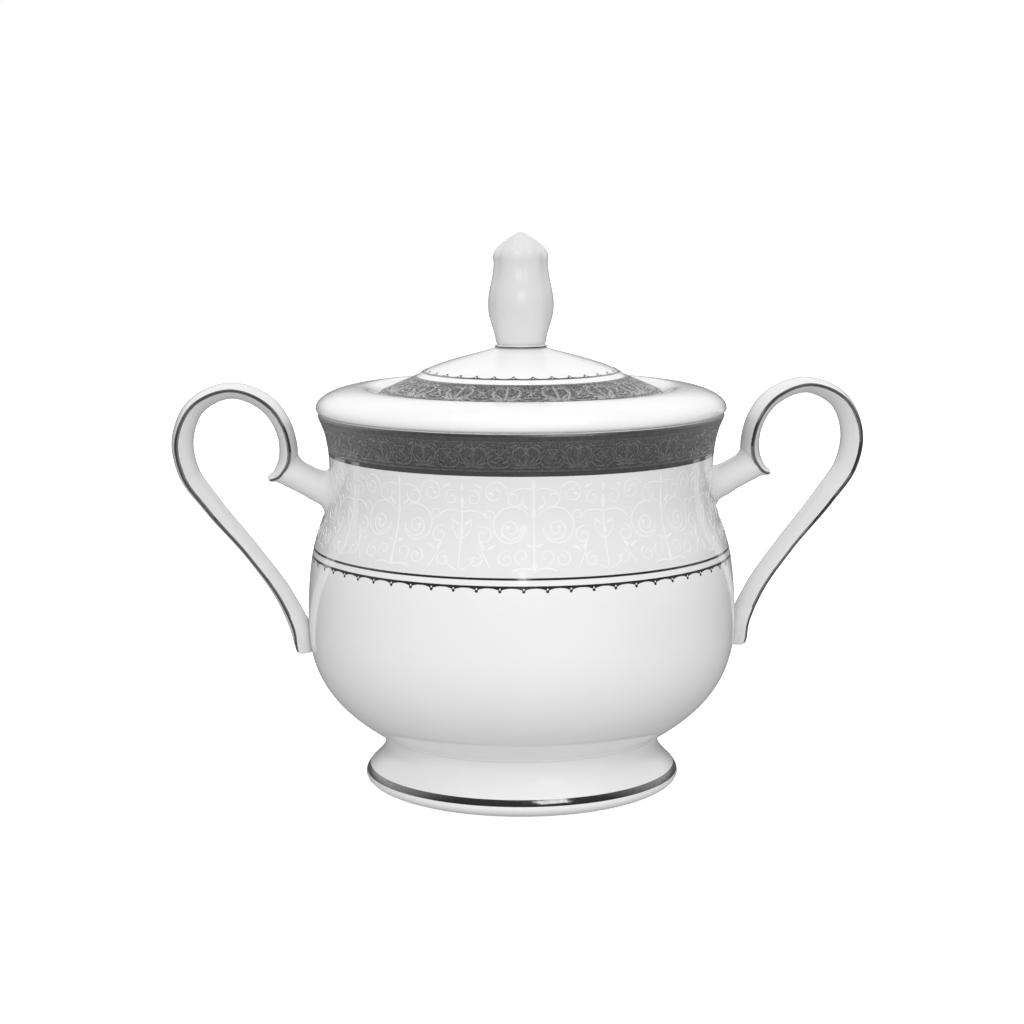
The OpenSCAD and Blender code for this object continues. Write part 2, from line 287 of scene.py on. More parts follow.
def relief_band(name, track, start, end, strokes, repeats, radius, columns, rows, lifts):
    """An etched skin: strokes stand up to lifts[1] on a ground lifts[0] high."""
    length = TURN * radius / repeats
    raised = np.tile(relief(strokes, length, abs(end - start), columns, rows), (1, repeats))
    piece = band(name, track, start, end, lifts[0] + (lifts[1] - lifts[0]) * raised)
    marks = np.zeros(len(piece.data.vertices))
    marks[:raised.size] = raised.ravel()
    layer = piece.data.attributes.new("raised", "FLOAT", "POINT")
    layer.data.foreach_set("value", marks)
    return piece


def ribbons(name, track, strokes, repeats, radius, top, lift, phase=0.0):
    """Raised strokes on a track, repeated round the piece. y = 0 lies at the distance top."""
    profile = np.array([(-1, -0.03), (-0.6, 0.75), (0, 1), (0.6, 0.75), (1, -0.03)])
    sections = []
    for k in range(repeats):
        for stroke in strokes:
            way = unit(np.gradient(stroke[:, :2], axis=0))
            side = np.stack([-way[:, 1], way[:, 0]], 1)[:, None] * profile[None, :, :1]
            place = stroke[:, None, :2] + side * stroke[:, None, 2:]
            turn = place[..., 0] / radius + TURN * k / repeats + phase
            sections.append(track.put(turn, top + place[..., 1], lift * profile[None, :, 1]))
    return tube_mesh(name, sections, sharp=50)


def buttons(name, track, places, radius, lift, sides=14):
    """Low round dots on a track, at (angle, distance) places."""
    a = np.arange(sides) * TURN / sides
    rings = [(1, SUNK), (1, lift * 0.4), (0.75, lift * 0.85), (0.35, lift)]
    sections = []
    for turn, s in places:
        r = float(np.interp(s, track.s, track.line[:, 0]))
        sections.append(np.stack([track.put(turn + radius * share * np.cos(a) / r,
                                            s + radius * share * np.sin(a), up)
                                  for share, up in rings]))
    return tube_mesh(name, sections, sharp=50)


def lace(name, track, line, side, count, phase, body, node):
    """A platinum line with arches hanging to its side, a dot at each cusp and an eye above it."""
    line_w, arch_w = 0.5, 0.62
    across = 24     # steps across one arch
    turn = np.arange(count * across) * TURN / (count * across) + phase
    hang = np.abs(2 * (np.arange(count * across) % across) / across - 1) ** 2.4
    reach = line_w + arch_w * hang
    share = np.linspace(0, 1, 5)[:, None]
    rows = [track.put(turn, line + side * reach * k, LINE_LIFT) for k in share]
    under = [track.put(turn, line + side * reach * k, SUNK) for k in (1, 0)]
    web = ring_mesh(name + "_web", np.stack([*rows, *under]))
    finish_piece(web, body, node, "bright_platinum", bright)
    cusps = phase + np.arange(count) * TURN / count
    dots = buttons(name + "_dots", track, [(c, line + side * 1.22) for c in cusps],
                   radius=0.36, lift=0.1)
    finish_piece(dots, body, None, "bright_platinum", bright)
    eyes = buttons(name + "_eyes", track, [(c, line + side * 0.74) for c in cusps],
                   radius=0.23, lift=0.09)
    finish_piece(eyes, body, None, "porcelain", glaze)


# ---- drawn patterns -------------------------------------------------------------------------
# A stroke is an array of rows (x, y, half width): x runs round the piece and y down it.

def volute(x, y, heading, length, bend, end_bend, width, end_width=None, step=0.25):
    """A stroke that leaves (x, y) at a heading in degrees, while its bend changes evenly."""
    count = max(6, int(length / step))
    t = np.linspace(0, 1, count)
    turned = math.radians(heading) + length * (bend * t + (end_bend - bend) * t * t / 2)
    way = np.stack([np.cos(turned), np.sin(turned)], 1) * length / (count - 1)
    place = np.array([x, y]) + np.concatenate([np.zeros((1, 2)), np.cumsum(way[:-1], 0)])
    ends = width * (1 - t) + (width if end_width is None else end_width) * t
    return np.column_stack([place, ends * np.minimum(1, 0.35 + 6 * np.minimum(t, 1 - t))])


def spiral(x, y, radius, start, sweep, width, inner=0.25):
    """A stroke that winds about (x, y) from an angle, in degrees, shrinking to inner * radius."""
    turned = abs(math.radians(sweep))
    count = max(10, round(turned * radius * (1 + inner) / 2 / 0.34))
    t = np.linspace(0, 1, count)
    angle = math.radians(start) + math.radians(sweep) * t
    r = radius * (1 - (1 - inner) * t)
    wide = width * np.minimum(1, 0.45 + 4 * t) * (1 - 0.25 * t)
    wide[-1] = width * 1.3
    return np.column_stack([x + r * np.cos(angle), y + r * np.sin(angle), wide])


def leaf(x, y, heading, length, width, curl=0.0, count=12):
    """A leaf-shaped stroke from (x, y), pointed at both ends."""
    stroke = volute(x, y, heading, length, curl, curl, 1, step=length / count)
    t = np.linspace(0, 1, len(stroke))
    stroke[:, 2] = width * np.sin(math.pi * t ** 0.8) ** 0.8 + 0.03
    return stroke


def mirrored(strokes, about=0.0):
    """The strokes and their mirror images about a vertical line."""
    flipped = [s * (-1, 1, 1) + (2 * about, 0, 0) for s in strokes]
    return [*strokes, *flipped]


# ---- materials ------------------------------------------------------------------------------

def grey(value):
    """An opaque grey, as Blender's colour sockets take it."""
    return (value, value, value, 1)


class Finish:
    """A Principled material. Sockets that are the same all over are set by name."""

    def __init__(self, name, **sockets):
        self.material = bpy.data.materials.new(name)
        self.material.use_nodes = True
        self.nodes = self.material.node_tree.nodes
        self.links = self.material.node_tree.links
        self.shader = self.nodes["Principled BSDF"]
        for key, value in sockets.items():
            self.shader.inputs[key.replace("_", " ")].default_value = value
        self.place = self.nodes.new("ShaderNodeTexCoord").outputs["Object"]

    def noise(self, scale, detail=2.0):
        """Noise in the piece's own space. A scale of 1000 has grains of about a millimetre."""
        node = self.nodes.new("ShaderNodeTexNoise")
        node.inputs["Scale"].default_value = scale
        node.inputs["Detail"].default_value = detail
        self.links.new(self.place, node.inputs["Vector"])
        return node.outputs["Fac"]

    def vary(self, socket, source, low, high, start=0.3, end=0.7):
        """The socket goes from low to high as the source goes from start to end."""
        node = self.nodes.new("ShaderNodeValToRGB")
        ramp = node.color_ramp.elements
        ramp[0].position, ramp[1].position = start, end
        ramp[0].color, ramp[1].color = grey(low), grey(high)
        self.links.new(source, node.inputs["Fac"])
        self.links.new(node.outputs["Color"], self.shader.inputs[socket])

    def bump(self, source, height, strength=1.0):
        """Makes the source look like relief, height mm high."""
        node = self.nodes.new("ShaderNodeBump")
        node.inputs["Strength"].default_value = strength
        node.inputs["Distance"].default_value = height * MM
        self.links.new(source, node.inputs["Height"])
        self.links.new(node.outputs["Normal"], self.shader.inputs["Normal"])

    def plus(self, first, second, share):
        """The sum share * first + second."""
        node = self.nodes.new("ShaderNodeMath")
        node.operation = "MULTIPLY_ADD"
        node.inputs[1].default_value = share
        self.links.new(first, node.inputs[0])
        self.links.new(second, node.inputs[2])
        return node.outputs[0]

    def attribute(self, name):
        """A number that the mesh holds for each of its points."""
        node = self.nodes.new("ShaderNodeAttribute")
        node.attribute_name = name
        return node.outputs["Fac"]


def glaze_finish(name, low, high):
    """Clear glaze over white or grey china, with the slight waviness of a dipped glaze."""
    f = Finish(name, IOR=1.5, Coat_Weight=0.4, Coat_Roughness=0.03)
    f.vary("Base Color", f.noise(35), low, high)
    f.vary("Roughness", f.noise(400, 4), 0.06, 0.14)
    f.bump(f.noise(160), 0.05, 0.25)
    return f.material


def bisque_finish():
    """The unglazed ring that the bowl stood on in the kiln."""
    f = Finish("bisque", Roughness=0.75)
    f.vary("Base Color", f.noise(900, 6), 0.68, 0.80)
    f.bump(f.noise(2500, 4), 0.06)
    return f.material


def etched_finish(name, dark, light):
    """Fired platinum over acid-etched relief: matt in the ground, rubbed bright on top."""
    f = Finish(name, Metallic=1.0)
    raised = f.attribute("raised")
    f.vary("Base Color", f.plus(raised, f.noise(2200, 3), 0.3), dark, light, 0.38, 0.85)
    f.vary("Roughness", raised, 0.40, 0.24, 0.0, 0.8)
    f.bump(f.noise(2200, 4), 0.3, 1.0)
    return f.material


def bright_finish(name, tones, roughness):
    """Burnished platinum, with faint brush marks and wear."""
    f = Finish(name, Metallic=1.0)
    f.vary("Base Color", f.noise(900, 5), *tones)
    f.vary("Roughness", f.noise(2200, 4), *roughness)
    f.bump(f.noise(700, 3), 0.02, 0.5)
    return f.material


glaze = glaze_finish("white_glaze", 0.895, 0.925)
# The knob's glaze is a darker copy of the white glaze: painted shade, so that the knob looks greyer than
# the body.
knob_shade_glaze = glaze_finish("knob_glaze_painted_shade", 0.71, 0.75)
# The handles' glaze is a darker copy of the white glaze: painted shade for the shadows on the handles,
# laid evenly over each whole handle.
handle_glaze_painted_shade = glaze_finish("handle_glaze_painted_shade", 0.80, 0.84)
ground = glaze_finish("grey_ground_glaze", 0.82, 0.845)
scroll_white = glaze_finish("raised_white_glaze", 0.90, 0.93)
bisque = bisque_finish()
etched = etched_finish("etched_platinum", 0.28, 0.56)
lid_etched = etched_finish("lid_etched_platinum", 0.14, 0.85)
bright = bright_finish("bright_platinum", (0.27, 0.35), (0.07, 0.16))
satin = bright_finish("satin_platinum", (0.27, 0.35), (0.34, 0.44))
mirror = bright_finish("mirror_platinum", (0.72, 0.80), (0.06, 0.12))

# ---- the bowl -------------------------------------------------------------------------------

bowl_line = smooth(meridian("bowl_shell"))
bowl = lathe("bowl_body", bowl_line)
finish_piece(bowl, "bowl", "bowl_shell", "porcelain", glaze)
foot_line = smooth(meridian("foot_ring"), step=0.6, closed=True)
piece = lathe("foot", foot_line, closed=True)
finish_piece(piece, "bowl", "foot_ring", "porcelain", glaze, bisque)
UNGLAZED_TOP = 0.12     # height under which the downward faces are unglazed
for face in piece.data.polygons:
    if face.center.z < UNGLAZED_TOP * MM and face.normal.z < -0.7:
        face.material_index = 1


# ---- tracks that the decoration lies on -----------------------------------------------------

# Places on the outlines, as (radius, height)
rim_edge = (49.2, 92.15)
waist = (34.4, 12.9)
foot_edge = (38.7, 2.6)
wall = Track(part_of(bowl_line, rim_edge, waist))


def heights(node):
    """The top and bottom of a CAD node, in mm."""
    low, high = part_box(node)
    return high[2] / MM, low[2] / MM


# Distances along the wall, down from the rim's edge
s_rim = 0.0
s_band_top, s_band_low = (wall.at_height(z) for z in heights("rim_band"))
s_border_low = wall.at_height(heights("rim_band_lower_border")[1])
s_scroll_low = wall.at_height(heights("scroll_band")[1])
s_line_low = wall.at_height(heights("shoulder_line")[1])
s_lace = wall.at_height(heights("shoulder_lace")[0])


def foliage(length, height):
    """One repeat of etched leaves and scrolls, with a palmette in the middle."""
    low = height * 0.86     # where the leaves spring from
    h = height / 7.5        # the motif is drawn 7.5 mm high, and scaled by this
    half = [leaf(0.25, low, -62, 3.3 * h, 0.34, 0.10), leaf(0.45, low, -36, 3.1 * h, 0.32, 0.14),
            leaf(0.6, low, -12, 2.4 * h, 0.26, 0.16),
            volute(0.9, low - 0.5 * h, -30, 9.5 * h, -0.12, -1.15 / h, 0.26, 0.18),
            volute(length / 2, low - 0.1, 180, 5.6 * h, 0.12, 1.3 / h, 0.26, 0.16),
            volute(length / 2 - 0.2, height * 0.30, 190, 4.4 * h, -0.2, -1.5 / h, 0.2, 0.14),
            leaf(length * 0.30, height * 0.22, -160, 2.0 * h, 0.26, 0.2),
            leaf(length * 0.33, height * 0.62, 35, 1.8 * h, 0.26, -0.2),
            leaf(length * 0.16, height * 0.30, -110, 1.5 * h, 0.22, 0.1),
            leaf(length / 2, height * 0.48, -135, 1.5 * h, 0.25),
            leaf(length / 2, height * 0.48, 135, 1.5 * h, 0.25)]
    middle = [leaf(0, low, -90, 3.6 * h, 0.36), leaf(0, height * 0.30, -90, 1.6 * h, 0.3),
              leaf(length / 2, height * 0.48, -90, 1.9 * h, 0.26),
              leaf(length / 2, height * 0.48, 90, 1.6 * h, 0.26)]
    lines = [np.array([(-length, y, 0.13), (length, y, 0.13)])
             for y in (height * 0.05, height * 0.945)]
    return mirrored(half) + middle + lines


RIM_REPEATS = 25
RIM_R = 48     # roughly the rim band's radius, which the motif is drawn for
piece = relief_band("rim_band_relief", wall, s_band_top, s_band_low,
                    foliage(TURN * RIM_R / RIM_REPEATS, s_band_low - s_band_top),
                    RIM_REPEATS, RIM_R, columns=68, rows=46, lifts=ETCHED_LIFTS)
finish_piece(piece, "bowl", "rim_band", "etched_platinum", etched)
piece = band("rim_border_top", wall, s_rim, s_band_top, BORDER_LIFT)
finish_piece(piece, "bowl", "rim_band_upper_border", "bright_platinum", satin)
piece = band("rim_border_low", wall, s_band_low, s_border_low, BORDER_LIFT)
finish_piece(piece, "bowl", "rim_band_lower_border", "bright_platinum", bright)
piece = band("scroll_ground", wall, s_border_low, s_scroll_low, GLAZE_LIFT, rows=40)
finish_piece(piece, "bowl", "scroll_band", "scroll_decor", ground)


def scrollwork(length):
    """One repeat of the raised white scrolls: a stem with spirals in the middle, and a smaller
    stem with spreading arms at the repeat's end."""
    edge = length / 2
    half = [spiral(5.2, 11.6, 4.9, -150, 330, 0.25, 0.62), spiral(5.3, 12.0, 2.6, 160, -560, 0.26),
            spiral(9.0, 3.9, 2.9, 170, 500, 0.24), spiral(4.5, 5.0, 2.3, 200, -400, 0.22),
            spiral(6.3, 18.9, 2.0, -100, 470, 0.24), spiral(2.7, 18.2, 1.9, 90, -400, 0.22),
            spiral(edge - 3.6, 19.2, 1.9, -80, -420, 0.22), spiral(edge - 2.6, 5.2, 1.9, -60, -430, 0.2),
            spiral(edge - 5.2, 13.6, 2.2, -60, -440, 0.24), spiral(10.4, 9.0, 1.6, 100, 420, 0.2),
            volute(0.2, 3.2, -20, 6.0, 0.16, 0.2, 0.22, 0.16), volute(0.2, 21.4, -18, 5.0, 0.1, 0.3, 0.26),
            volute(edge, 8.4, 195, 6.4, -0.03, -0.42, 0.26, 0.2),
            volute(edge, 14.6, 215, 5.2, 0.1, 0.45, 0.22, 0.16),
            volute(edge - 0.2, 21.6, 200, 4.8, 0.05, 0.5, 0.24, 0.16),
            volute(9.6, 21.4, -70, 6.2, 0.12, -0.2, 0.2, 0.14),
            leaf(8.6, 15.8, 20, 2.6, 0.34, 0.2), leaf(1.0, 7.6, -30, 2.4, 0.34, -0.2),
            leaf(11.2, 17.0, -70, 2.6, 0.34, 0.2), leaf(12.0, 3.0, -40, 2.2, 0.32, 0.2),
            leaf(0.4, 16.2, -35, 2.2, 0.34, 0.2), leaf(edge - 0.4, 11.2, 200, 2.6, 0.32, 0.2),
            leaf(9.3, 3.9, 20, 1.3, 0.4), leaf(5.4, 12.0, -30, 1.3, 0.45)]
    middle = [volute(0, 1.6, 90, 20.2, 0, 0, 0.26), leaf(0, 3.4, -90, 2.9, 0.42),
              leaf(0, 10.0, -90, 3.0, 0.5), leaf(0, 21.9, -90, 3.4, 0.5),
              volute(edge, 6.8, 90, 14.6, 0, 0, 0.24), leaf(edge, 7.6, -90, 3.2, 0.45),
              leaf(edge, 3.6, -90, 2.2, 0.36), leaf(edge, 13.8, -90, 2.8, 0.44)]
    bolder = 1.2     # all strokes are this much wider than drawn
    return [stroke * (1, 1, bolder) for stroke in mirrored(half) + middle]


SCROLL_REPEATS = 9
SCROLL_R = 48.0          # roughly the grey ground's radius
SCROLL_PHASE = -91.6     # where a repeat has its middle, in degrees from +X
scrolls = scrollwork(TURN * SCROLL_R / SCROLL_REPEATS)
piece = ribbons("scroll_work", wall, scrolls, SCROLL_REPEATS, SCROLL_R, s_border_low,
                SCROLL_LIFT, math.radians(SCROLL_PHASE))
finish_piece(piece, "bowl", None, "scroll_decor", scroll_white)
LACE_COUNT = 60
lace("shoulder_lace", wall, s_lace, 1, LACE_COUNT, math.radians(1.6), "bowl", "shoulder_lace")
piece = band("shoulder_hairline", wall, s_scroll_low, s_line_low, LINE_LIFT)
finish_piece(piece, "bowl", "shoulder_line", "bright_platinum", bright)

flare = Track(part_of(foot_line, waist, foot_edge))
joint = Track(np.concatenate([wall.line[:-1], flare.line]))
s_joint = joint.at_height(waist[1])
JOINT_REACH = 1.6     # how far the glaze over the joint goes, up and down
piece = band("foot_joint", joint, s_joint - JOINT_REACH, s_joint + JOINT_REACH, GLAZE_LIFT, rows=12)
finish_piece(piece, "bowl", None, "porcelain", glaze)
s_foot_band = [flare.at_height(z) for z in heights("foot_band")]
piece = band("foot_platinum", flare, *s_foot_band, LINE_LIFT)
finish_piece(piece, "bowl", "foot_band", "bright_platinum", bright)

# ---- the lid --------------------------------------------------------------------------------

lid_line = smooth(meridian("lid_shell"))
finish_piece(lathe("lid_body", lid_line), "lid", "lid_shell", "porcelain", glaze)


def bud(outline, lobes=6, turns=216, facing=-5):
    """The knob: a bud of rounded petals with creases between them, over a grooved neck. A
    petal has its middle at facing, in degrees from +X."""
    outline = outline[outline[:, 0] > 1e-3]
    r, z = outline[:, :1], outline[:, 1:]
    angle = np.arange(turns)[None] * TURN / turns
    wave = 0.5 - 0.5 * np.cos(lobes * (angle - math.radians(facing)))
    wave = wave ** 1.6
    above = z - z.min()
    depth = np.interp(above, (0, 2.5, 6, 16, 21.5, 24, 26.5, 28),
                      (0, 0, 0.02, 0.04, 0.06, 0.11, 0.16, 0))
    groove = 0.3 * np.exp(-((above - 0.85) / 0.3) ** 2)
    r = (r - groove) * (1 - depth * wave)
    rings = np.stack([r * np.cos(angle), r * np.sin(angle), z + 0 * angle], -1)
    return tube_mesh("knob_bud", [rings], sharp=50)


knob_line = smooth(meridian("lid_knob"), step=0.4)
# The knob wears the darker copy of the white glaze: painted shade.
finish_piece(bud(knob_line), "lid", "lid_knob", "porcelain", knob_shade_glaze)


def bead(radius=6.15, size=0.2, sides=16):
    """The round outline of the platinum ring at the knob's neck."""
    low, high = (v[2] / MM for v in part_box("knob_collar"))
    a = np.arange(sides)[:, None] * TURN / sides
    return np.array([[radius, (low + high) / 2]]) + size * np.hstack([np.cos(a), np.sin(a)])


piece = lathe("knob_ring", bead(), closed=True)
finish_piece(piece, "lid", "knob_collar", "bright_platinum", bright)
neck = (6.1, 107.9)
lid_edge = (50.05, 93.4)
dome_line = part_of(lid_line, neck, lid_edge)
if dome_line[0, 0] > dome_line[-1, 0]:
    dome_line = dome_line[::-1]
dome = Track(dome_line)


def radii(node):
    """The inner and outer radius of a turned skin in CAD, in mm."""
    line = meridian(node)
    return line[:, 0].min(), line[:, 0].max()


s_etched = [dome.at_radius(r) for r in radii("lid_band")]
s_lid_border = dome.at_radius(radii("lid_band_border")[1])
LID_REPEATS = 16
LID_R = 29     # roughly the lid band's radius
piece = relief_band("lid_band_relief", dome, *s_etched,
                    foliage(TURN * LID_R / LID_REPEATS, s_etched[1] - s_etched[0]),
                    LID_REPEATS, LID_R, columns=76, rows=56, lifts=ETCHED_LIFTS)
finish_piece(piece, "lid", "lid_band", "etched_platinum", lid_etched)
s_lid_lace = dome.at_radius(radii("lid_lace")[1])
LID_LACE_COUNT = 32
lace("lid_lace", dome, s_lid_lace, -1, LID_LACE_COUNT, math.radians(2), "lid", "lid_lace")
piece = band("lid_band_edge", dome, s_etched[1], s_lid_border, BORDER_LIFT)
finish_piece(piece, "lid", "lid_band_border", "bright_platinum", mirror)

# ---- handles --------------------------------------------------------------------------------

# Stations of the strap, from the toe to the curl's tip: distance out, height, thickness,
# half width as a share of STRAP_W, and the edges' offset as a share of the thickness
STRAP = [(53.7, 33.8, 3.0, 0.66, 0.40), (53.8, 35.2, 4.2, 0.72, 0.36),
         (54.5, 39.0, 4.8, 0.77, 0.26), (57.7, 46.6, 4.5, 0.80, 0.22),
         (65.7, 58.4, 4.1, 0.88, 0.22), (75.4, 70.4, 4.8, 0.95, 0.22),
         (80.8, 78.5, 5.2, 1.00, 0.22), (82.1, 86.0, 5.3, 1.00, 0.22),
         (78.9, 94.1, 4.6, 1.00, 0.18), (70.4, 98.0, 3.9, 1.00, 0.12),
         (61.2, 94.2, 4.2, 1.00, 0.06), (57.1, 86.8, 4.3, 0.97, 0.04),
         (57.0, 80.8, 4.4, 0.90, 0.04), (59.3, 77.4, 3.0, 0.74, 0.04),
         (62.8, 76.1, 0.6, 0.40, 0.04)]
STRAP_W = 6.0
# The same for the free stretch of the stem between the neck and the curl
STEM = [(49.9, 74.7, 7.7, 0.97, 0), (50.8, 75.2, 7.5, 0.95, 0), (51.6, 75.6, 7.3, 0.93, 0)]
STEM_W = 5.2
TOE_TOP = 44       # height under which the toe starts to sink into the belly
TOE_FADE = 6       # and over how much height it does
TOE_SUNK = 0.4     # how deep its inner side then lies in the belly
TIP_CUT = 1.2      # length taken off the curl's thin tip
TIP_SWELL = 1.2    # how much thicker the platinum lines' path gets towards that tip


def route(stations, per_mm=1.6):
    """A smooth path through the stations."""
    s = np.asarray(stations, float)
    size = np.maximum(np.linalg.norm(np.diff(s, axis=0), axis=1), 0.001)
    way = np.diff(s, axis=0) / size[:, None]
    slope = np.empty_like(s)
    slope[0], slope[-1] = way[0], way[-1]
    a, b = size[:-1, None], size[1:, None]
    slope[1:-1] = (way[:-1] * b + way[1:] * a) / (a + b)
    parts = [hermite(s[i], s[i + 1], slope[i] * size[i], slope[i + 1] * size[i],
                     max(2, round(size[i] * per_mm))) for i in range(len(size))]
    return np.concatenate([*parts, s[-1:]])


def sweep(path, shape, half_w):
    """Rings of a section along a path. Its rows say: across the strap, away from the loop,
    and the share of the edges' offset."""
    way = unit(np.gradient(path[:, :2], axis=0))
    side = np.stack([way[:, 1], -way[:, 0]], 1)[:, None]
    away = (shape[None, :, 1:2] + shape[None, :, 2:] * path[:, None, 4:]) * path[:, None, 2:3]
    out = path[:, None, :2] + side * away
    across = shape[None, :, 0] * path[:, 3:4] * half_w
    return np.stack([out[..., 0], across, out[..., 1]], -1)


def strap_section(count=17):
    """The strap's section: two crowns that meet in an edge on each side."""
    u = np.sin(np.linspace(-1, 1, count) * math.pi / 2)
    over = np.stack([u, (1 - u * u) / 2, u * u], 1)
    return np.concatenate([over, (over * (1, -1, 1))[-2:0:-1]])


def oval_section(count=48):
    """The stem's oval section."""
    a = np.arange(count) * TURN / count
    return np.stack([np.sin(a), np.cos(a) / 2, 0 * a], 1)


def rounded_ends(rings, size):
    """The rings, with a smaller ring beyond each end, so that the ends look rounded."""
    ends = []
    for first, second in ((rings[0], rings[1]), (rings[-1], rings[-2])):
        middle = first.mean(0)
        ends.append(middle + 0.6 * (first - middle) + unit(middle - second.mean(0)) * size)
    return np.concatenate([ends[:1], rings, ends[1:]])


def seated(rings):
    """The strap's rings, with the inner side of the toe let into the belly."""
    x, z = rings[..., 0], rings[..., 2]
    inner = strap_section()[:, 1]
    depth = np.clip(-2 * inner, 0, 1) ** 0.35
    low = np.clip((TOE_TOP - z) / TOE_FADE, 0, 1)
    share = depth * low * low * (3 - 2 * low)
    inside = np.interp(-z, -wall.line[:, 1], wall.line[:, 0]) - TOE_SUNK
    rings[..., 0] = np.where(x > inside, x + (inside - x) * share, x)
    return rings


def surface_of(rings):
    """A tree for finding places on the mesh of a tube's rings."""
    count, sides = rings.shape[:2]
    i = np.arange(count - 1)[:, None] * sides
    j = np.arange(sides)[None]
    j2 = np.roll(j, -1, 1)
    faces = np.stack([i + j, i + j2, i + sides + j2, i + sides + j], -1).reshape(-1, 4)
    return BVHTree.FromPolygons(rings.reshape(-1, 3).tolist(), faces.tolist())


def fillet(ring, way, tree, radii, steps=9):
    """Rings that carry a stem's end ring along way onto a surface, in a hollow curve."""
    middle = ring.mean(0)
    rows = np.zeros((steps, len(ring), 3))
    for k, corner in enumerate(ring):
        spot, normal, _, _ = tree.ray_cast(Vector(corner), Vector(way))
        if spot is None:
            spot, normal, _, _ = tree.find_nearest(Vector(corner))
        normal = normal if normal.dot(Vector(way)) < 0 else -normal
        away = Vector(corner - middle)
        away = (away - normal * away.dot(normal)).normalized()
        size = radii(unit(corner - middle))
        end = spot + away * size
        near, _, _, _ = tree.find_nearest(end)
        shift = near - normal * 0.2 - end
        for row, angle in enumerate(np.linspace(0, math.pi / 2, steps)):
            place = spot - Vector(way) * size * (1 - math.sin(angle))
            place += away * size * (1 - math.cos(angle)) + shift * math.sin(angle) ** 3
            rows[row, k] = place
    return rows


def stem_rings(strap):
    """The stem that holds the curl to the neck, flowing into both."""
    free = sweep(route(STEM), oval_section(), STEM_W)
    way = unit(free[-1].mean(0) - free[0].mean(0))
    neck = BVHTree.FromPolygons([v.co / MM for v in bowl.data.vertices],
                                [p.vertices for p in bowl.data.polygons])
    # A fillet's size goes by its direction, and is larger over and under the stem than beside it
    at_neck = fillet(free[0], -way, neck, lambda d: 1.9 + 0.5 * abs(d[2]))
    at_curl = fillet(free[-1], way, surface_of(strap),
                     lambda d: 0.8 + 2.0 * max(0, d[2]) ** 2 + 0.7 * min(0, d[2]) ** 2)
    return np.concatenate([at_neck[::-1], free, at_curl])


# The section of a line on the strap's edge, as sweep() takes it
EDGE_LINE = np.array([(0.87, -0.02, 1), (0.94, 0.09, 1), (1.015, 0.02, 1), (1.015, -0.02, 1),
                      (0.94, -0.09, 1)])


def handle_shapes():
    """The rings of a handle's strap, stem and two platinum lines, on the side of +X."""
    path = route(STRAP)
    path = path[np.linalg.norm(path[:, :2] - path[-1, :2], axis=1) > TIP_CUT]
    strap = sweep(path, strap_section(), STRAP_W)
    stem = stem_rings(strap)
    bold = path[1:].copy()
    bold[:, 2] += TIP_SWELL * np.linspace(0, 1, len(bold)) ** 4
    lines = [rounded_ends(sweep(bold, EDGE_LINE * (edge, 1, 1), STRAP_W), 0.1) for edge in (-1, 1)]
    return [rounded_ends(seated(strap), 0.4), stem], lines


def handle(side, name):
    """A handle and its two platinum lines, on the side of +X (1) or -X (-1)."""
    turn = np.array([side, side, 1])
    solids, lines = handle_shapes()
    piece = tube_mesh(name + "_body", [part * turn for part in solids])
    # The handle wears the darker copy of the white glaze: painted shade.
    finish_piece(piece, "bowl", name, "porcelain", handle_glaze_painted_shade)
    piece = tube_mesh(name + "_edge_lines", [part * turn for part in lines])
    finish_piece(piece, "bowl", name + "_lines", "bright_platinum", bright)


handle(1, "handle_right")
handle(-1, "handle_left")

# ---- room -----------------------------------------------------------------------------------

def look():
    """The camera: in front, a little above the bowl and 5 degrees to its left."""
    data = bpy.data.cameras.new("camera")
    data.lens = 80.98
    data.sensor_width = 36
    data.shift_x = -0.0091
    camera = bpy.data.objects.new("camera", data)
    yaw, pitch, roll = math.radians(5), 0.1499, -0.0022
    way = Vector((math.sin(yaw) * math.cos(pitch), math.cos(yaw) * math.cos(pitch), -math.sin(pitch)))
    turn = way.to_track_quat("-Z", "Y").to_matrix() @ Matrix.Rotation(roll, 3, "Z")
    place = (-0.0488, -0.5579, 0.1519)
    camera.matrix_world = Matrix.Translation(place) @ turn.to_4x4()
    bpy.context.scene.collection.objects.link(camera)
    bpy.context.scene.camera = camera


def floor_finish():
    """A pale floor that glows a little, and is see-through from below."""
    f = Finish("pale_floor", Roughness=0.6, Emission_Color=grey(1), Emission_Strength=0.62)
    f.vary("Base Color", f.noise(3), 0.90, 0.92)
    under = f.nodes.new("ShaderNodeMixShader")
    f.links.new(f.nodes.new("ShaderNodeNewGeometry").outputs["Backfacing"], under.inputs["Fac"])
    f.links.new(f.shader.outputs[0], under.inputs[1])
    f.links.new(f.nodes.new("ShaderNodeBsdfTransparent").outputs[0], under.inputs[2])
    f.links.new(under.outputs[0], f.nodes["Material Output"].inputs["Surface"])
    return f.material


look()
FAR = 9000     # half the floor's width
floor = add_mesh("floor", [(-FAR, -FAR, 0), (FAR, -FAR, 0), (FAR, FAR, 0), (-FAR, FAR, 0)],
                 [(0, 1, 2, 3)])
floor.data.materials.append(floor_finish())
floor.visible_glossy = False
floor.visible_diffuse = False


def lamp(name, place, aim, size, watts, glossy=False):
    """A soft rectangular light. With glossy, it shows in reflections."""
    data = bpy.data.lights.new(name, "AREA")
    data.shape = "RECTANGLE"
    data.size, data.size_y = size
    data.energy = watts
    light = bpy.data.objects.new(name, data)
    way = Vector(aim) - Vector(place)
    light.matrix_world = Matrix.Translation(place) @ way.to_track_quat("-Z", "Y").to_matrix().to_4x4()
    light.visible_glossy = glossy
    bpy.context.scene.collection.objects.link(light)


